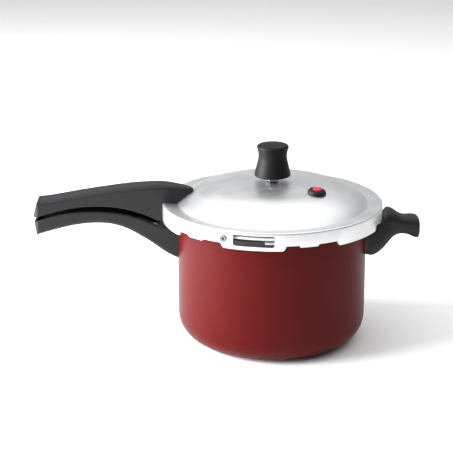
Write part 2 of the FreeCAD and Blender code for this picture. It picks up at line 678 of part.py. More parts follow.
NODES = {
    "pot_shell": pot_shell,
    "body_handle": body_handle,
    "body_handle_bracket": lambda: pot_strap(-1),
    "body_bracket_rivets": lambda: pot_rivets(-1),
    "body_handle_screw": lambda: pot_screw(-1, BODY_HEAD_Z),
    "body_handle_nut": lambda: pot_nut(-1),
    "helper_handle": helper_handle,
    "helper_bracket": lambda: pot_strap(1),
    "helper_bracket_rivets": lambda: pot_rivets(1),
    "helper_screw": lambda: pot_screw(1, HELPER_HEAD_Z),
    "helper_nut": lambda: pot_nut(1),
    "gasket": gasket,
    "lid_shell": lid_shell,
    "lid_handle": lid_handle,
    "lid_handle_bracket": lid_handle_bracket,
    "lid_bracket_rivets": lid_bracket_rivets,
    "lid_handle_screw": lid_handle_screw,
    "skirt_rivet": skirt_rivet,
    "vent_pipe": vent_pipe,
    "vent_pipe_washer": vent_pipe_washer,
    "vent_pipe_nut": vent_pipe_nut,
    "valve_grommet": valve_grommet,
    "pin_bushing": pin_bushing,
    "weight_cap": weight_cap,
    "weight_core": weight_core,
    "weight_needle": weight_needle,
    "weight_clip": weight_clip,
    "pressure_pin": pressure_pin,
    "pin_foot": pin_foot,
}

os.makedirs("parts", exist_ok=True)
for name, make in NODES.items():
    shape = make()
    shape.exportStep(f"parts/{name}.step")
    print(f"{name}: {len(shape.Solids)} solid(s), {shape.Volume:.0f} mm3, valid {shape.isValid()}")
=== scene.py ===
import math

import bmesh
import bpy
from mathutils import Matrix, Vector


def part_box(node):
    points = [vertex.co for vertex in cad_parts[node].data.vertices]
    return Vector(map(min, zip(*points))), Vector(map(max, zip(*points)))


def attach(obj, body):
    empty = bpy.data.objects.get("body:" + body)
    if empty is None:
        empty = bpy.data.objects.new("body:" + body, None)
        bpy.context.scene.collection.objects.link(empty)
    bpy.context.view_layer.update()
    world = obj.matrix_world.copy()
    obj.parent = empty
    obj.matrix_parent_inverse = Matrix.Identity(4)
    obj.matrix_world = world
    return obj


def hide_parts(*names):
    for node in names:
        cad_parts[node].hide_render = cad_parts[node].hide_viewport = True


bl_info = {
    "name": "Pressure cooker",
    "version": (1, 0, 0),
    "blender": (4, 5, 0),
    "location": "View3D > Sidebar > Cooker",
    "description": "Builds and finishes an outer-lid pressure cooker around its CAD frame",
    "category": "Object",
}

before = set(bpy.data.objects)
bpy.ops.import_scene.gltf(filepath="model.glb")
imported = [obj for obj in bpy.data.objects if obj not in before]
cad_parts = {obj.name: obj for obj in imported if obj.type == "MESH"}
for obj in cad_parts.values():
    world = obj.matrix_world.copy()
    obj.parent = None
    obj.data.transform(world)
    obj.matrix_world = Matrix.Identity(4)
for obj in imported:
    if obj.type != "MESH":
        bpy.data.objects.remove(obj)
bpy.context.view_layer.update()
MM = 0.001

# ---- lid pattern, in degrees from the front towards +X, repeated at each tab ----
NOTCH_AFTER_SKIRT = (4.8, 12.2)
NOTCH_BEFORE_SKIRT = (21.4, 32.5)
TAB_ANGLES = (12.2, 21.4)
TAB_CUT_OVERLAP = 0.6    # how far the cut under a tab runs into the notches beside it
WINDOW_ANGLES = (-21.4, -0.6)
SKIRT_RIVET_ANGLE = -26.4

# ---- lid heights and radii, in metres ----
NOTCH_TOP = 140.2 * MM
NOTCH_CORNER = 1.8 * MM
TAB_BOTTOM = 138.2 * MM
TAB_REACH = 110.8 * MM       # inner radius of the tabs
TAB_FOLD = 1.6 * MM          # outside radius of the fold into a tab
SKIRT_CHAMFER = 2.2 * MM
WINDOW_HEIGHTS = (138.8 * MM, 150.7 * MM)
WINDOW_CORNER = 2.0 * MM
SKIRT_RIVET_HEIGHT = 145.1 * MM
SKIRT_RIVET_RADIUS = 2.4 * MM
SKIRT_SHOULDER = 1.6 * MM    # height of the skirt's top over the dome's foot
SKIRT_TOP_CORNER = 2.0 * MM
SKIRT_EDGE = 0.3 * MM        # rounding of the sheet's lower edge
TAB_END_CORNER = 0.5 * MM
TAB_END_DEPTH = 1 * MM       # how far the cut under a tab runs below the notches' cut
CLEAR = 5 * MM               # how far cutters run past the lid
DOME_ROWS = 30               # rows of faces from the crown to the foot
DOME_SPACING = 0.8           # under 1 puts the first row further from the crown

# ---- pot: extra rows of faces, small roundings and material slots ----
WALL_ROWS = (60 * MM, 100 * MM)
RIM_EDGE = 0.45 * MM         # rounding of the flange's edge
LUG_EDGE = 0.5 * MM          # rounding of the lugs' edges
LUG_ROOT = 2 * MM            # how far a lug reaches into the flange
OUTSIDE, INSIDE, BARE = range(3)

# ---- rings turned into the pot's underside ----
RING_START = 12.0 * MM
RING_PITCH = 10.0 * MM
RING_DEPTH = 0.3 * MM
RING_TOP_HALF = 0.5 * MM
RING_HALF = 0.7 * MM

SHARP_ANGLE = math.radians(32)   # edges folded more than this stay crisp
SAME_PLACE = 1e-6                # points closer than this are one
BRIGHT = (0.2, 0.34)             # roughness of bright worked metal, low and high


# ---- sizes and colours a user would change ----
def colour(name, description, value):
    return bpy.props.StringProperty(name=name, description=description, default=value)


def length(name, description, value):
    return bpy.props.FloatProperty(name=name, description=description, default=value,
                                   unit="LENGTH", min=0.0)


def power(name, description, value):
    return bpy.props.FloatProperty(name=name, description=description, default=value,
                                   unit="POWER", min=0.0)


def glow(name, description, value):
    return bpy.props.FloatProperty(name=name, description=description, default=value, min=0.0)


class PotSettings(bpy.types.PropertyGroup):
    outside: colour("Outside", "Red non-stick coat outside, sRGB hex", "4C0505")
    inside: colour("Inside", "Dark non-stick coat inside, sRGB hex", "1E1F20")
    bare: colour("Bare metal", "Machined base and lugs, sRGB hex", "C9CACC")
    rivets: colour("Rivets", "Aluminium rivets of the straps, sRGB hex", "C6C7C9")
    radius: length("Radius", "Outside radius of the straight wall", 102.5 * MM)
    wall: length("Wall", "Thickness of the pot wall", 2.5 * MM)
    floor: length("Floor", "Thickness of the pot floor", 3.5 * MM)
    base_corner: length("Base corner", "Outside radius of the base corner", 28.4 * MM)
    rim_radius: length("Rim", "Outside radius of the rim flange", 109.0 * MM)
    rim_bend: length("Rim bend", "Outside radius between wall and flange", 3.0 * MM)
    # the dark coat over the rim is real; the band of it below the flange, down to this height, is
    # painted shade under the lid
    coat_and_painted_shade_edge: length("Coat edge", "Height where the red coat gives way to the dark one",
                      134.6 * MM)
    lug_start: bpy.props.FloatProperty(name="Lug start", description="Where the front lug starts",
                                       default=math.radians(-95.5), subtype="ANGLE")
    lug_span: bpy.props.FloatProperty(name="Lug span", description="Angle of one rim lug",
                                      default=math.radians(30.0), subtype="ANGLE")
    lugs: bpy.props.IntProperty(name="Lugs", description="Lugs on the rim", default=6, min=0)
    rings: bpy.props.IntProperty(name="Rings", description="Turned rings under the base",
                                 default=6, min=0)


class LidSettings(bpy.types.PropertyGroup):
    metal: colour("Metal", "Polished aluminium, sRGB hex", "DADBDC")
    polish: bpy.props.FloatProperty(name="Roughness", description="Roughness of the polish",
                                    default=0.4, min=0.0, max=1.0)
    # darker than bright nickel: painted shade, so the skirt rivet reads as a shaded hollow
    rivets: colour("Rivets", "Nickel-plated rivets of the skirt, sRGB hex", "77787A")
    seal: colour("Gasket", "Grey-white silicone, sRGB hex", "C9CBC8")
    sheet: length("Sheet", "Thickness of the lid sheet", 2.0 * MM)
    skirt_radius: length("Skirt", "Outside radius of the skirt", 119.1 * MM)
    dome_radius: length("Dome", "Radius of the dome's foot", 103.0 * MM)
    dome_foot: length("Dome foot", "Height of the dome's foot", 152.5 * MM)
    dome_rise: length("Dome rise", "Height of the dome over its foot", 22.0 * MM)
    dome_power: bpy.props.FloatProperty(name="Dome shape", description="Higher is flatter on top",
                                        default=4.24, min=2.0)
    skirt_bottom: length("Skirt bottom", "Lower edge of the tall stretches", 135.0 * MM)
    tabs: bpy.props.IntProperty(name="Tabs", description="Locking tabs under the lid",
                                default=6, min=0)


class HandleSettings(bpy.types.PropertyGroup):
    phenolic: colour("Phenolic", "Black moulded phenolic, sRGB hex", "171719")
    strap: colour("Straps", "Pressed steel straps on the pot, sRGB hex", "A9AAAD")
    screws: colour("Screws", "Zinc-plated screws and nuts, sRGB hex", "B4B5B8")
    # the lid's strap and screw are made near black so the handle's slit looks dark: painted shade
    slit_shade_steel: colour("Lid strap", "Black-oxide strap and screw of the lid, sRGB hex", "2C2C2E")


class ValveSettings(bpy.types.PropertyGroup):
    knob: colour("Knob", "Black moulded phenolic of the weight, sRGB hex", "121214")
    pin: colour("Pin", "Red pressure pin, sRGB hex", "C4122E")
    rubber: colour("Rubber", "Black rubber plug, sRGB hex", "101011")
    steel: colour("Steel", "Turned stainless steel, sRGB hex", "B9BABC")


class StudioSettings(bpy.types.PropertyGroup):
    floor: colour("Floor", "Pale studio floor, sRGB hex", "FBFBFB")
    floor_half: length("Floor size", "Half the width of the floor", 8.0)
    overhead: power("Overhead light", "Power of the softbox overhead", 54.0)
    left: power("Left light", "Power of the softbox at the left", 135.0)
    front_glow: glow("Front glow", "Strength of the light from the front", 0.08)
    back_glow: glow("Back glow", "Strength of the light from behind", 0.6)
    lens: bpy.props.FloatProperty(name="Lens", description="Camera lens on a 36 mm sensor",
                                  default=109.34 * MM, unit="CAMERA")
    distance: length("Distance", "Camera distance from its target", 1.5)
    elevation: bpy.props.FloatProperty(name="Elevation", description="Camera height angle",
                                       default=math.radians(17.75), subtype="ANGLE")
    target: bpy.props.FloatVectorProperty(name="Target", description="Point the camera looks at",
                                          default=(-0.04958, 0.0, 0.12346), subtype="XYZ",
                                          unit="LENGTH")


# ---- material helpers ----
def rgba(code):
    """sRGB hex to linear colour with alpha 1."""
    parts = [int(code[i:i + 2], 16) / 255 for i in (0, 2, 4)]
    return tuple(c / 12.92 if c <= 0.04045 else ((c + 0.055) / 1.055) ** 2.4
                 for c in parts) + (1.0,)


def add_node(tree, kind, inputs=(), **settings):
    """Add one node, set its properties, and fill or link its inputs.

    An input takes a value, a socket, or a node, which stands for its first output.
    """
    node = tree.nodes.new(kind)
    for name, value in settings.items():
        setattr(node, name, value)
    for key, value in dict(inputs).items():
        if isinstance(value, bpy.types.Node):
            value = value.outputs[0]
        if isinstance(value, bpy.types.NodeSocket):
            tree.links.new(value, node.inputs[key])
        else:
            node.inputs[key].default_value = value
    return node


def new_material(name):
    """New empty material, its node tree, and the object coordinates in it."""
    made = bpy.data.materials.new(name)
    made.use_nodes = True
    made.node_tree.nodes.clear()
    spot = add_node(made.node_tree, "ShaderNodeTexCoord").outputs["Object"]
    return made, made.node_tree, spot


def surface(tree, code, pattern, low, high, sockets):
    """Put a finish on its output: the colour times low to high as the pattern rises.

    Sockets are the shader's other inputs, as constants or nodes.
    """
    r, g, b, a = rgba(code)
    ramp = add_node(tree, "ShaderNodeValToRGB", {"Fac": pattern})
    for element, factor in zip(ramp.color_ramp.elements, (low, high)):
        element.color = (r * factor, g * factor, b * factor, a)
    shader = add_node(tree, "ShaderNodeBsdfPrincipled", {"Base Color": ramp, **sockets})
    add_node(tree, "ShaderNodeOutputMaterial", {"Surface": shader})


def ring_marks(tree, spot, spacing):
    """Fine circular marks about the pot's axis, as left by spinning, of one spacing."""
    flat = add_node(tree, "ShaderNodeVectorMath", {0: spot, 1: (1.0, 1.0, 0.0)},
                    operation="MULTIPLY")
    radius = add_node(tree, "ShaderNodeVectorMath", {0: flat},
                      operation="LENGTH").outputs["Value"]
    height = add_node(tree, "ShaderNodeSeparateXYZ", {0: spot}).outputs["Z"]
    # the sum and the difference change along a flat and along a wall alike
    along = add_node(tree, "ShaderNodeMath", {0: radius, 1: height}, operation="ADD")
    across = add_node(tree, "ShaderNodeMath", {0: radius, 1: height}, operation="SUBTRACT")
    place = add_node(tree, "ShaderNodeCombineXYZ", {0: along, 1: across})
    return add_node(tree, "ShaderNodeTexNoise",
                    {"Vector": place, "Scale": 1 / spacing, "Detail": 3.0})


# ---- materials ----
def red_nonstick(code):
    """Sprayed and baked non-stick enamel: a satin coat with a slight orange peel."""
    made, tree, spot = new_material("baked_red_nonstick")
    cloud = add_node(tree, "ShaderNodeTexNoise", {"Vector": spot, "Scale": 1 / (30 * MM)})
    wear = add_node(tree, "ShaderNodeTexNoise",
                    {"Vector": spot, "Scale": 1 / (4 * MM), "Detail": 4.0})
    rough = add_node(tree, "ShaderNodeMapRange", {"Value": wear, "To Min": 0.35, "To Max": 0.43})
    # orange peel, drawn at 1.2 mm so that it shows
    peel = add_node(tree, "ShaderNodeTexNoise", {"Vector": spot, "Scale": 1 / (1.2 * MM)})
    relief = add_node(tree, "ShaderNodeBump",
                      {"Height": peel, "Distance": 0.02 * MM, "Strength": 0.5})
    surface(tree, code, cloud, 0.93, 1.07,
            {"Roughness": rough, "Normal": relief, "Specular IOR Level": 0.1})
    return made


def dark_nonstick(code):
    """Sprayed fluoropolymer: a dark grey satin coat with pale mineral specks."""
    made, tree, spot = new_material("speckled_grey_nonstick")
    # specks, drawn 2.2 mm apart so that they show
    cells = add_node(tree, "ShaderNodeTexVoronoi", {"Vector": spot, "Scale": 1 / (2.2 * MM)})
    specks = add_node(tree, "ShaderNodeMapRange",
                      {"Value": cells, "From Min": 0.10, "From Max": 0.16,
                       "To Min": 1.0, "To Max": 0.0})
    wear = add_node(tree, "ShaderNodeTexNoise", {"Vector": spot, "Scale": 1 / (6 * MM)})
    rough = add_node(tree, "ShaderNodeMapRange", {"Value": wear, "To Min": 0.36, "To Max": 0.46})
    grain = add_node(tree, "ShaderNodeTexNoise", {"Vector": spot, "Scale": 1 / (0.9 * MM)})
    relief = add_node(tree, "ShaderNodeBump",
                      {"Height": grain, "Distance": 0.02 * MM, "Strength": 0.5})
    surface(tree, code, specks, 1.0, 3.5, {"Roughness": rough, "Normal": relief, "IOR": 1.4})
    return made


def machined_aluminium(code):
    """Aluminium turned on a lathe: bright, with fine concentric tool marks."""
    made, tree, spot = new_material("turned_aluminium")
    marks = ring_marks(tree, spot, 0.6 * MM)
    rough = add_node(tree, "ShaderNodeMapRange",
                     {"Value": marks, "To Min": 0.26, "To Max": 0.42})
    relief = add_node(tree, "ShaderNodeBump",
                      {"Height": marks, "Distance": 0.03 * MM, "Strength": 0.6})
    surface(tree, code, marks, 0.86, 1.0,
            {"Roughness": rough, "Normal": relief, "Metallic": 1.0})
    return made


def polished_aluminium(code, roughness):
    """Buffed aluminium sheet: a soft shine with faint circular buffing lines."""
    made, tree, spot = new_material("buffed_aluminium")
    marks = ring_marks(tree, spot, 0.9 * MM)
    smear = add_node(tree, "ShaderNodeTexNoise", {"Vector": spot, "Scale": 1 / (22 * MM)})
    both = add_node(tree, "ShaderNodeMath", {0: marks, 1: smear}, operation="ADD")
    rough = add_node(tree, "ShaderNodeMapRange",
                     {"Value": both, "From Min": 0.6, "From Max": 1.4,
                      "To Min": roughness * 0.75, "To Max": roughness * 1.25})
    relief = add_node(tree, "ShaderNodeBump",
                      {"Height": marks, "Distance": 0.012 * MM, "Strength": 0.35})
    surface(tree, code, smear, 0.96, 1.0,
            {"Roughness": rough, "Normal": relief, "Metallic": 1.0})
    return made


def moulded_phenolic(name, code, reflection):
    """Compression-moulded phenolic: black, satin, with a fine matte grain."""
    made, tree, spot = new_material(name)
    cloud = add_node(tree, "ShaderNodeTexNoise",
                     {"Vector": spot, "Scale": 1 / (18 * MM), "Detail": 4.0})
    wear = add_node(tree, "ShaderNodeTexNoise",
                    {"Vector": spot, "Scale": 1 / (5 * MM), "Detail": 5.0})
    rough = add_node(tree, "ShaderNodeMapRange", {"Value": wear, "To Min": 0.44, "To Max": 0.56})
    # mould grain, drawn at 0.7 mm so that it shows
    grain = add_node(tree, "ShaderNodeTexNoise",
                     {"Vector": spot, "Scale": 1 / (0.7 * MM), "Detail": 3.0})
    relief = add_node(tree, "ShaderNodeBump",
                      {"Height": grain, "Distance": 0.03 * MM, "Strength": 0.5})
    surface(tree, code, cloud, 0.88, 1.12,
            {"Roughness": rough, "Normal": relief, "Specular IOR Level": reflection})
    return made


def soft_rubber(name, code, roughness):
    """Moulded elastomer: even colour, soft sheen, slight mottling."""
    made, tree, spot = new_material(name)
    cloud = add_node(tree, "ShaderNodeTexNoise",
                     {"Vector": spot, "Scale": 1 / (7 * MM), "Detail": 4.0})
    wear = add_node(tree, "ShaderNodeTexNoise",
                    {"Vector": spot, "Scale": 1 / (2 * MM), "Detail": 3.0})
    rough = add_node(tree, "ShaderNodeMapRange",
                     {"Value": wear, "To Min": roughness[0], "To Max": roughness[1]})
    grain = add_node(tree, "ShaderNodeTexNoise", {"Vector": spot, "Scale": 1 / (0.6 * MM)})
    relief = add_node(tree, "ShaderNodeBump",
                      {"Height": grain, "Distance": 0.02 * MM, "Strength": 0.4})
    surface(tree, code, cloud, 0.9, 1.08,
            {"Roughness": rough, "Normal": relief, "Specular IOR Level": 0.25})
    return made


def glossy_red(code):
    """Injection-moulded nylon cap: saturated red, glossy, slightly clouded."""
    made, tree, spot = new_material("glossy_red_nylon")
    cloud = add_node(tree, "ShaderNodeTexNoise", {"Vector": spot, "Scale": 1 / (3 * MM)})
    wear = add_node(tree, "ShaderNodeTexNoise", {"Vector": spot, "Scale": 1 / (1 * MM)})
    rough = add_node(tree, "ShaderNodeMapRange", {"Value": wear, "To Min": 0.16, "To Max": 0.24})
    surface(tree, code, cloud, 0.9, 1.0, {"Roughness": rough, "IOR": 1.53})
    return made


def worked_metal(name, code, roughness):
    """Turned, drawn or plated metal: its shine is broken up by fine marks."""
    made, tree, spot = new_material(name)
    marks = add_node(tree, "ShaderNodeTexNoise",
                     {"Vector": spot, "Scale": 1 / (0.8 * MM), "Detail": 4.0})
    rough = add_node(tree, "ShaderNodeMapRange",
                     {"Value": marks, "To Min": roughness[0], "To Max": roughness[1]})
    relief = add_node(tree, "ShaderNodeBump",
                      {"Height": marks, "Distance": 0.01 * MM, "Strength": 0.4})
    surface(tree, code, marks, 0.85, 1.0,
            {"Roughness": rough, "Normal": relief, "Metallic": 1.0})
    return made


def studio_floor(code):
    """Painted matt board: near white, very slightly clouded."""
    made, tree, spot = new_material("pale_floor")
    cloud = add_node(tree, "ShaderNodeTexNoise", {"Vector": spot, "Scale": 1 / (500 * MM)})
    surface(tree, code, cloud, 0.98, 1.0, {"Roughness": 0.8})
    return made


def finish_nodes(made, *nodes):
    """Give CAD nodes one material through their slots."""
    for name in nodes:
        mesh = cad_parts[name].data
        if not mesh.materials:
            mesh.materials.append(made)
        for i in range(len(mesh.materials)):
            mesh.materials[i] = made


# ---- mesh helpers ----
def arc_points(centre, radius, start, end, steps):
    """Points along an arc in the radius and height plane, angles in degrees."""
    points = []
    for i in range(steps + 1):
        turn = math.radians(start + (end - start) * i / steps)
        points.append((centre[0] + radius * math.cos(turn), centre[1] + radius * math.sin(turn)))
    return points


def spin_round(bm, points, steps=160):
    """Spin an outline right round the axis, close its poles and face it outwards."""
    verts = [bm.verts.new((r, 0.0, z)) for r, z in points]
    edges = [bm.edges.new(pair) for pair in zip(verts, verts[1:])]
    bmesh.ops.spin(bm, geom=verts + edges, cent=(0, 0, 0), axis=(0, 0, 1), dvec=(0, 0, 0),
                   angle=math.tau, steps=steps, use_merge=True)
    bmesh.ops.remove_doubles(bm, verts=bm.verts, dist=SAME_PLACE)
    bmesh.ops.recalc_face_normals(bm, faces=bm.faces)


def finished(bm, name, body, materials):
    """Object from a bmesh, smooth shaded, riding on its body."""
    for face in bm.faces:
        face.smooth = True
    mesh = bpy.data.meshes.new(name)
    bm.to_mesh(mesh)
    bm.free()
    mesh.set_sharp_from_angle(angle=SHARP_ANGLE)
    for made in materials:
        mesh.materials.append(made)
    piece = bpy.data.objects.new(name, mesh)
    bpy.context.scene.collection.objects.link(piece)
    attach(piece, body)
    return piece


# ---- operators ----
class COOKER_OT_pot(bpy.types.Operator):
    """Spin the pot with its coated inside, lugged rim and turned base"""
    bl_idname = "cooker.pot"
    bl_label = "Pot"

    def outline(self, s, top):
        flat = s.radius - s.base_corner
        inner = s.radius - s.wall
        bend = s.rim_bend + s.wall
        pivot = (s.radius + s.rim_bend, top - bend)
        points = [(0.0, 0.0)]
        for i in range(s.rings):
            middle = RING_START + RING_PITCH * i
            points += [(middle - RING_HALF, 0.0), (middle - RING_TOP_HALF, RING_DEPTH),
                       (middle + RING_TOP_HALF, RING_DEPTH), (middle + RING_HALF, 0.0)]
        points += arc_points((flat, s.base_corner), s.base_corner, -90, 0, 14)
        points += [(s.radius, height) for height in (*WALL_ROWS, s.coat_and_painted_shade_edge)]
        points += arc_points(pivot, s.rim_bend, 180, 90, 6)
        edge = s.rim_radius - RIM_EDGE
        points += arc_points((edge, top - s.wall + RIM_EDGE), RIM_EDGE, -90, 0, 3)
        points += arc_points((edge, top - RIM_EDGE), RIM_EDGE, 0, 90, 3)
        points += arc_points(pivot, bend, 90, 180, 8)
        corner = inner - flat
        points += [(inner, height) for height in reversed(WALL_ROWS)]
        points += arc_points((flat, s.floor + corner), corner, 0, -90, 14)
        return points + [(0.0, s.floor)]

    def lug(self, bm, s, start, low, high, reach):
        """Ring sector spun from one rounded face; returns its faces."""
        before = set(bm.faces)
        root = s.rim_radius - LUG_ROOT
        edge = reach - LUG_EDGE
        outline = [(root, low), *arc_points((edge, low + LUG_EDGE), LUG_EDGE, -90, 0, 3),
                   *arc_points((edge, high - LUG_EDGE), LUG_EDGE, 0, 90, 3), (root, high)]
        turn = Matrix.Rotation(start, 3, "Z")
        verts = [bm.verts.new(turn @ Vector((r, 0.0, z))) for r, z in outline]
        face = bm.faces.new(verts)
        bmesh.ops.spin(bm, geom=[*verts, *face.edges, face], cent=(0, 0, 0), axis=(0, 0, 1),
                       dvec=(0, 0, 0), angle=s.lug_span, steps=12)
        return [f for f in bm.faces if f not in before]

    def execute(self, context):
        s = context.scene.cooker_pot
        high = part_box("pot_shell")[1]
        bm = bmesh.new()
        spin_round(bm, self.outline(s, high.z))
        for face in bm.faces:
            spot = face.calc_center_median()
            outwards = Vector((spot.x, spot.y, 0.0)).normalized().dot(face.normal)
            # the flat base is bare; what faces in or up is the dark inside coat, and so is all
            # over coat_and_painted_shade_edge: the coat wrapped over the rim, and below the
            # flange a band of painted shade on the outside wall
            if face.normal.z < -0.97 and spot.z < 1 * MM:
                face.material_index = BARE
            elif outwards < -0.02 or face.normal.z > 0.1 or spot.z > s.coat_and_painted_shade_edge:
                face.material_index = INSIDE
            else:
                face.material_index = OUTSIDE
        lugs = []
        for i in range(s.lugs):
            lugs += self.lug(bm, s, s.lug_start + i * math.tau / s.lugs, high.z - s.wall,
                             high.z, high.y)
        bmesh.ops.recalc_face_normals(bm, faces=lugs)
        for face in lugs:
            face.material_index = BARE
        pot = finished(bm, "pot", "pot",
                       (red_nonstick(s.outside), dark_nonstick(s.inside),
                        machined_aluminium(s.bare)))
        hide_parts("pot_shell")
        finish_nodes(worked_metal("bright_aluminium_rivet", s.rivets, BRIGHT),
                     "body_bracket_rivets", "helper_bracket_rivets")
        return {"FINISHED"}


class COOKER_OT_lid(bpy.types.Operator):
    """Spin the domed lid and cut its notches, window and rivet hole"""
    bl_idname = "cooker.lid"
    bl_label = "Lid"

    def dome(self, s, depth, inward):
        """Points of the dome's section a depth under its outer face."""
        points = []
        for i in range(1, DOME_ROWS + 1):
            r = s.dome_radius * (i / DOME_ROWS) ** DOME_SPACING
            fall = s.dome_rise * (r / s.dome_radius) ** s.dome_power
            tilt = math.atan(s.dome_power * fall / r)
            points.append((r - depth * math.sin(tilt),
                           s.dome_foot + s.dome_rise - fall - depth * math.cos(tilt)))
        return points[::-1] if inward else points

    def outline(self, s):
        corner, edge = SKIRT_TOP_CORNER, SKIRT_EDGE
        top = s.dome_foot + SKIRT_SHOULDER
        crown = s.dome_foot + s.dome_rise
        bottom = s.skirt_bottom + edge
        wall = s.skirt_radius - s.sheet
        points = [(0.0, crown), *self.dome(s, 0.0, False)]
        points += arc_points((s.skirt_radius - corner, top - corner), corner, 90, 0, 5)
        points += arc_points((s.skirt_radius - edge, bottom), edge, 0, -90, 2)
        points += arc_points((wall + edge, bottom), edge, -90, -180, 2)
        # underside of the flange, from the skirt's inner wall to the dome
        points += [(wall, top - s.sheet),
                   (s.dome_radius + 0.4 * s.sheet, s.dome_foot - 0.95 * s.sheet)]
        return points + [*self.dome(s, s.sheet, True), (0.0, crown - s.sheet)]

    def opening(self, bm, s, start, end, low, high, soft, flare=0):
        """Sector through the skirt with rounded corners, angles from the front in degrees.

        Flare is -1 or 1 to chamfer the skirt's corner at the start or the end.
        """
        before = set(bm.faces)
        inner, outer = s.skirt_radius - CLEAR, s.skirt_radius + CLEAR
        middle = s.skirt_bottom + SKIRT_CHAMFER
        outline = [(inner, low), (outer, low), (outer, high), (inner, high)]
        if flare:
            outline = [*outline[:2], (outer, middle), *outline[2:], (inner, middle)]
        turn = Matrix.Rotation(math.radians(start - 90), 3, "Z")
        verts = [bm.verts.new(turn @ Vector((r, 0.0, z))) for r, z in outline]
        face = bm.faces.new(verts)
        bmesh.ops.spin(bm, geom=[*verts, *face.edges, face], cent=(0, 0, 0), axis=(0, 0, 1),
                       dvec=(0, 0, 0), angle=math.radians(end - start),
                       steps=max(2, round((end - start) / 2)))
        made = [f for f in bm.faces if f not in before]
        bmesh.ops.recalc_face_normals(bm, faces=made)

        def on_side(vert, angle):
            side = Matrix.Rotation(math.radians(angle - 90), 3, "Z") @ Vector((0.0, 1.0, 0.0))
            return abs(vert.co.dot(side)) < SAME_PLACE

        ends = (start, end)
        levels = (high,) if flare else (low, high)
        corners = {e for f in made for e in f.edges
                   if any(all(on_side(v, angle) for v in e.verts) for angle in ends)
                   and any(all(abs(v.co.z - z) < SAME_PLACE for v in e.verts)
                           for z in levels)}
        if flare:
            moved = {v for f in made for v in f.verts
                     if abs(v.co.z - low) < SAME_PLACE and on_side(v, ends[flare > 0])}
            swing = (middle - low) / s.skirt_radius * flare
            bmesh.ops.rotate(bm, verts=list(moved), cent=(0, 0, 0),
                             matrix=Matrix.Rotation(swing, 3, "Z"))
        bmesh.ops.bevel(bm, geom=list(corners), offset=soft, offset_type="OFFSET", segments=4,
                        profile=0.5, affect="EDGES", material=-1)

    def cut(self, lid, draw, s):
        """Take the openings that draw makes in a bmesh out of the lid's mesh."""
        bm = bmesh.new()
        draw(bm, s)
        mesh = bpy.data.meshes.new("cutter")
        bm.to_mesh(mesh)
        bm.free()
        cutter = bpy.data.objects.new("cutter", mesh)
        bpy.context.scene.collection.objects.link(cutter)
        boolean = lid.modifiers.new("openings", "BOOLEAN")
        boolean.operation = "DIFFERENCE"
        boolean.solver = "EXACT"
        boolean.object = cutter
        bpy.context.view_layer.update()
        shape = bpy.data.meshes.new_from_object(lid.evaluated_get(
            bpy.context.evaluated_depsgraph_get()))
        lid.modifiers.clear()
        lid.data = shape
        bpy.data.objects.remove(cutter)

    def notches(self, bm, s):
        bottom = s.skirt_bottom - CLEAR
        for i in range(s.tabs):
            turn = i * 360 / s.tabs
            for (start, end), flare in ((NOTCH_AFTER_SKIRT, -1), (NOTCH_BEFORE_SKIRT, 1)):
                self.opening(bm, s, start + turn, end + turn, bottom, NOTCH_TOP,
                             NOTCH_CORNER, flare)

    def tab_ends(self, bm, s):
        for i in range(s.tabs):
            turn = i * 360 / s.tabs
            self.opening(bm, s, TAB_ANGLES[0] - TAB_CUT_OVERLAP + turn,
                         TAB_ANGLES[1] + TAB_CUT_OVERLAP + turn,
                         s.skirt_bottom - CLEAR - TAB_END_DEPTH, TAB_BOTTOM, TAB_END_CORNER)

    def window(self, bm, s):
        self.opening(bm, s, *WINDOW_ANGLES, *WINDOW_HEIGHTS, WINDOW_CORNER)
        turn = Matrix.Rotation(math.radians(SKIRT_RIVET_ANGLE - 90), 4, "Z")
        away = Matrix.Translation((s.skirt_radius, 0.0, SKIRT_RIVET_HEIGHT))
        bmesh.ops.create_cone(bm, cap_ends=True, segments=32, radius1=SKIRT_RIVET_RADIUS,
                              radius2=SKIRT_RIVET_RADIUS, depth=2 * CLEAR,
                              matrix=turn @ away @ Matrix.Rotation(math.radians(90), 4, "Y"))

    def tab(self, bm, s, start, end):
        """Shelf that the tab folds inwards, spun from one rounded face."""
        before = set(bm.faces)
        outer = s.skirt_radius
        outline = [(TAB_REACH, TAB_BOTTOM),
                   *arc_points((outer - TAB_FOLD, TAB_BOTTOM + TAB_FOLD), TAB_FOLD, -90, 0, 4),
                   (outer, NOTCH_TOP), (TAB_REACH, NOTCH_TOP)]
        turn = Matrix.Rotation(math.radians(start - 90), 3, "Z")
        verts = [bm.verts.new(turn @ Vector((r, 0.0, z))) for r, z in outline]
        face = bm.faces.new(verts)
        bmesh.ops.spin(bm, geom=[*verts, *face.edges, face], cent=(0, 0, 0), axis=(0, 0, 1),
                       dvec=(0, 0, 0), angle=math.radians(end - start), steps=6)
        bmesh.ops.recalc_face_normals(bm, faces=[f for f in bm.faces if f not in before])

    def execute(self, context):
        s = context.scene.cooker_lid
        bm = bmesh.new()
        spin_round(bm, self.outline(s), steps=180)
        lid = finished(bm, "lid", "lid",
                       (polished_aluminium(s.metal, s.polish),))
        for draw in (self.notches, self.tab_ends, self.window):
            self.cut(lid, draw, s)
        bm = bmesh.new()
        bm.from_mesh(lid.data)
        for i in range(s.tabs):
            turn = i * 360 / s.tabs
            self.tab(bm, s, TAB_ANGLES[0] + turn, TAB_ANGLES[1] + turn)
        for face in bm.faces:
            face.smooth = True
        bm.to_mesh(lid.data)
        bm.free()
        lid.data.set_sharp_from_angle(angle=SHARP_ANGLE)
        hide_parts("lid_shell")
        # the rivets' nickel is darkened: painted shade
        finish_nodes(worked_metal("nickel_rivet_darkened_as_shade", s.rivets, BRIGHT), "skirt_rivet",
                     "lid_bracket_rivets")
        finish_nodes(soft_rubber("grey_white_silicone", s.seal, (0.38, 0.5)), "gasket")
        return {"FINISHED"}


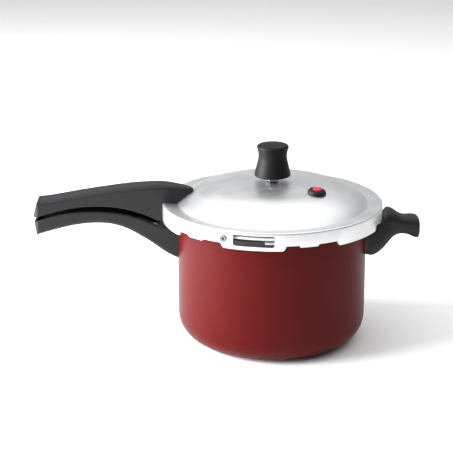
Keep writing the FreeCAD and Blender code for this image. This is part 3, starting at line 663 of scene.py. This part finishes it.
class COOKER_OT_handles(bpy.types.Operator):
    """Finish the long handle's halves and the helper handle"""
    bl_idname = "cooker.handles"
    bl_label = "Handles"

    def execute(self, context):
        s = context.scene.cooker_handles
        finish_nodes(moulded_phenolic("satin_black_phenolic", s.phenolic, 0.3),
                     "body_handle", "lid_handle", "helper_handle")
        return {"FINISHED"}


class COOKER_OT_regulator(bpy.types.Operator):
    """Finish the weight, the vent pipe and the pressure pin"""
    bl_idname = "cooker.regulator"
    bl_label = "Regulator and pin"

    def execute(self, context):
        s = context.scene.cooker_valve
        finish_nodes(moulded_phenolic("satin_black_knob", s.knob, 0.14), "weight_cap")
        finish_nodes(worked_metal("turned_stainless", s.steel, BRIGHT), "vent_pipe",
                     "vent_pipe_nut", "weight_core", "weight_needle", "pin_bushing", "pin_foot",
                     "weight_clip")
        finish_nodes(soft_rubber("black_rubber", s.rubber, (0.5, 0.62)), "valve_grommet",
                     "vent_pipe_washer")
        finish_nodes(glossy_red(s.pin), "pressure_pin")
        return {"FINISHED"}


class COOKER_OT_fasteners(bpy.types.Operator):
    """Finish the straps, screws and nuts inside the handles"""
    bl_idname = "cooker.fasteners"
    bl_label = "Straps and screws"

    def execute(self, context):
        s = context.scene.cooker_handles
        finish_nodes(worked_metal("pressed_steel_strap", s.strap, BRIGHT),
                     "body_handle_bracket", "helper_bracket")
        finish_nodes(worked_metal("zinc_plated_steel", s.screws, BRIGHT), "body_handle_screw",
                     "helper_screw", "body_handle_nut", "helper_nut")
        # near-black steel seen through the handle's slit: painted shade
        finish_nodes(worked_metal("steel_darkened_as_slit_shade", s.slit_shade_steel, (0.4, 0.55)),
                     "lid_handle_bracket", "lid_handle_screw")
        return {"FINISHED"}


def area_light(name, at, aim, size, watts):
    """White rectangular softbox at one point, facing another."""
    data = bpy.data.lights.new(name, "AREA")
    data.shape = "RECTANGLE"
    data.size, data.size_y = size
    data.energy = watts
    lamp = bpy.data.objects.new(name, data)
    bpy.context.scene.collection.objects.link(lamp)
    lamp.location = at
    lamp.rotation_euler = (Vector(aim) - Vector(at)).to_track_quat("-Z", "Y").to_euler()


class COOKER_OT_stage(bpy.types.Operator):
    """Add the floor, soft studio lights and the camera"""
    bl_idname = "cooker.stage"
    bl_label = "Stage"

    def execute(self, context):
        s = context.scene.cooker_studio
        bm = bmesh.new()
        bmesh.ops.create_grid(bm, x_segments=1, y_segments=1, size=s.floor_half)
        mesh = bpy.data.meshes.new("floor")
        bm.to_mesh(mesh)
        bm.free()
        floor = bpy.data.objects.new("floor", mesh)
        context.scene.collection.objects.link(floor)
        mesh.materials.append(studio_floor(s.floor))

        world = bpy.data.worlds.new("studio")
        world.use_nodes = True
        sky = world.node_tree
        toward = add_node(sky, "ShaderNodeTexCoord").outputs["Generated"]
        depth = add_node(sky, "ShaderNodeSeparateXYZ", {0: toward}).outputs["Y"]
        strength = add_node(sky, "ShaderNodeMapRange",
                            {"Value": depth, "From Min": -1.0, "From Max": 1.0,
                             "To Min": s.front_glow, "To Max": s.back_glow})
        background = sky.nodes["Background"]
        background.inputs["Color"].default_value = (1.0, 1.0, 1.0, 1.0)
        sky.links.new(strength.outputs[0], background.inputs["Strength"])
        context.scene.world = world
        middle = (0.0, 0.0, 0.1)
        area_light("overhead_softbox", at=(0.0, 0.0, 1.9), aim=middle, size=(3.6, 3.8),
                   watts=s.overhead)
        area_light("left_softbox", at=(-1.7, -0.3, 0.6), aim=middle, size=(1.3, 1.2),
                   watts=s.left)

        data = bpy.data.cameras.new("camera")
        data.lens = s.lens / MM
        data.sensor_width = 36.0
        camera = bpy.data.objects.new("camera", data)
        context.scene.collection.objects.link(camera)
        target = Vector(s.target)
        back = Vector((0.0, -math.cos(s.elevation), math.sin(s.elevation)))
        camera.location = target + back * s.distance
        camera.rotation_euler = (-back).to_track_quat("-Z", "Y").to_euler()
        context.scene.camera = camera
        context.scene.view_settings.view_transform = "Standard"
        return {"FINISHED"}


OPERATORS = (COOKER_OT_pot, COOKER_OT_lid, COOKER_OT_handles, COOKER_OT_regulator,
             COOKER_OT_fasteners, COOKER_OT_stage)
GROUPS = {"cooker_pot": PotSettings, "cooker_lid": LidSettings,
          "cooker_handles": HandleSettings, "cooker_valve": ValveSettings,
          "cooker_studio": StudioSettings}


class COOKER_PT_sidebar(bpy.types.Panel):
    bl_label = "Pressure cooker"
    bl_idname = "COOKER_PT_sidebar"
    bl_space_type = "VIEW_3D"
    bl_region_type = "UI"
    bl_category = "Cooker"

    def draw(self, context):
        for operator in OPERATORS:
            self.layout.operator(operator.bl_idname)
        for group in GROUPS:
            settings = getattr(context.scene, group)
            for name in settings.__annotations__:
                self.layout.prop(settings, name)


def register():
    for made in (*GROUPS.values(), *OPERATORS, COOKER_PT_sidebar):
        bpy.utils.register_class(made)
    for name, group in GROUPS.items():
        setattr(bpy.types.Scene, name, bpy.props.PointerProperty(type=group))


def unregister():
    for name in GROUPS:
        delattr(bpy.types.Scene, name)
    for made in (COOKER_PT_sidebar, *reversed(OPERATORS), *GROUPS.values()):
        bpy.utils.unregister_class(made)


def main():
    register()
    bpy.ops.cooker.pot()
    bpy.ops.cooker.lid()
    bpy.ops.cooker.handles()
    bpy.ops.cooker.regulator()
    bpy.ops.cooker.fasteners()
    bpy.ops.cooker.stage()


if __name__ == "__main__":
    main()
